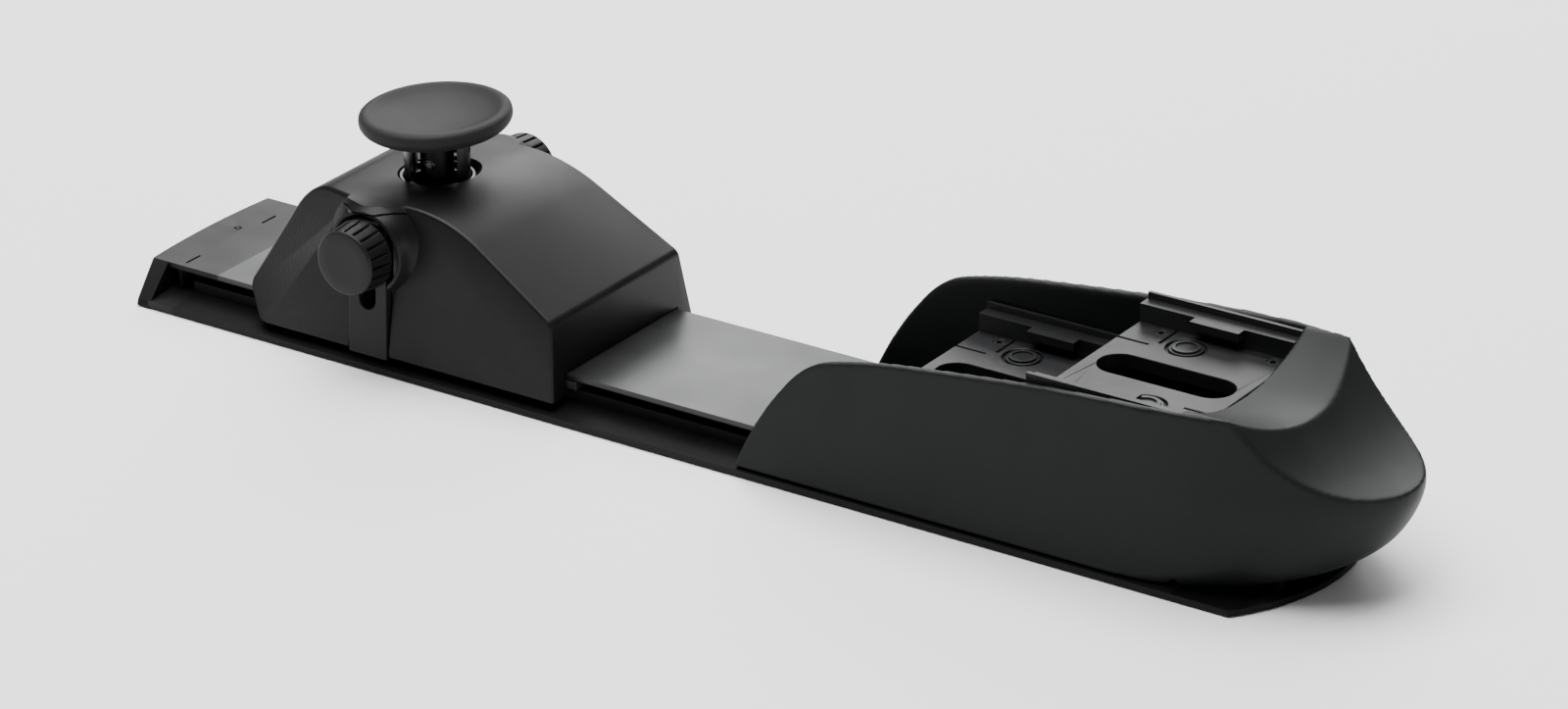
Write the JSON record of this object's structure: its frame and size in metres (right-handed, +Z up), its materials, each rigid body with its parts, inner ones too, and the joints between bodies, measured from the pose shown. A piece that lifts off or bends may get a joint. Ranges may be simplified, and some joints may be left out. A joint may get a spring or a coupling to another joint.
{
  "type": "camera support rail",
  "caption": "Flat rail with a sliding carriage that carries a height-adjustable tilting rest pad, and a stepped foot seat inside an open rubber-clad nose.",
  "frame": {"origin": "middle of the footprint, on the rail underside", "axes": "+X along the rail towards the nose, +Y across the rail away from the pictured side, +Z up"},
  "size_m": [0.3726, 0.083, 0.0643],
  "materials": {
    "rail_anodised": "black anodised extrusion, satin",
    "plate_anodised": "dark grey satin anodised sheet",
    "cap_plastic": "fine grain moulded plastic",
    "fastener_steel": "zinc plated steel",
    "bush_steel": "stainless steel insert",
    "housing_rubber": "soft-touch rubber armour, faint grey green",
    "seat_cast": "fine textured powder coat on die-cast",
    "cover_plastic": "fine grain black moulded plastic",
    "chassis_alloy": "dark anodised alloy",
    "glide_nylon": "plain low-friction nylon",
    "gib_alloy": "satin anodised strip",
    "clamp_coated": "fine grain coated plate",
    "collar_plastic": "smooth bearing plastic",
    "post_black": "black semi-gloss tube",
    "pin_steel": "bright ground steel",
    "stem_steel": "darkened turned steel",
    "pad_rubber": "matte grey rubber",
    "knob_plastic": "dark grey moulded grip"
  },
  "bodies": {
    "rail": {"rail_body": "rail_anodised", "top_plate": "plate_anodised", "end_cap": "cap_plastic", "end_cap_screws": "fastener_steel", "plate_screws": "fastener_steel", "quarter_bush": "bush_steel", "large_bush": "bush_steel", "nose_housing": "housing_rubber", "housing_screws": "fastener_steel", "nose_frame": "seat_cast", "lower_plate": "seat_cast", "upper_plate": "seat_cast", "lower_jaw_far": "seat_cast", "lower_jaw_near": "seat_cast", "upper_jaw_far": "seat_cast", "upper_jaw_near": "seat_cast", "jaw_screws": "seat_cast", "frame_screws": "fastener_steel", "seat_screws": "fastener_steel"},
    "carriage": {"carriage_cover": "cover_plastic", "carriage_chassis": "chassis_alloy", "glide_pads": "glide_nylon", "gib_strips": "gib_alloy", "front_clamp_plate": "clamp_coated", "rear_clamp_plate": "clamp_coated", "guide_collar": "collar_plastic", "cover_screws": "fastener_steel"},
    "support": {"lift_block": "chassis_alloy"},
    "post": {"post_fork": "post_black", "tilt_pin": "pin_steel", "retaining_ring": "fastener_steel"},
    "pad": {"pad_stem": "stem_steel", "pad_core": "stem_steel", "pad_cushion": "pad_rubber", "grub_screw": "pin_steel"},
    "front_screw": {"front_knob": "knob_plastic", "front_stud": "fastener_steel"},
    "rear_screw": {"rear_knob": "knob_plastic", "rear_stud": "fastener_steel"}
  },
  "joints": [
    {"name": "carriage_slide", "type": "slide", "parent": "rail", "child": "carriage", "axis": [1, 0, 0], "range_m": [-0.024, 0.055]},
    {"name": "support_lift", "type": "slide", "parent": "carriage", "child": "support", "axis": [0, 0, 1], "range_m": [-0.008, 0.002]},
    {"name": "post_turn", "type": "hinge", "parent": "support", "child": "post", "pos_m": [-0.107, 0, 0.03], "axis": [0, 0, 1], "continuous": true},
    {"name": "pad_tilt", "type": "hinge", "parent": "post", "child": "pad", "pos_m": [-0.107, 0, 0.052], "axis": [0.891, 0.454, 0], "range_deg": [-6, 6]},
    {"name": "front_screw_turn", "type": "hinge", "parent": "support", "child": "front_screw", "pos_m": [-0.107, -0.036, 0.033], "axis": [0, -1, 0], "continuous": true},
    {"name": "rear_screw_turn", "type": "hinge", "parent": "support", "child": "rear_screw", "pos_m": [-0.107, 0.036, 0.033], "axis": [0, 1, 0], "continuous": true}
  ]
}
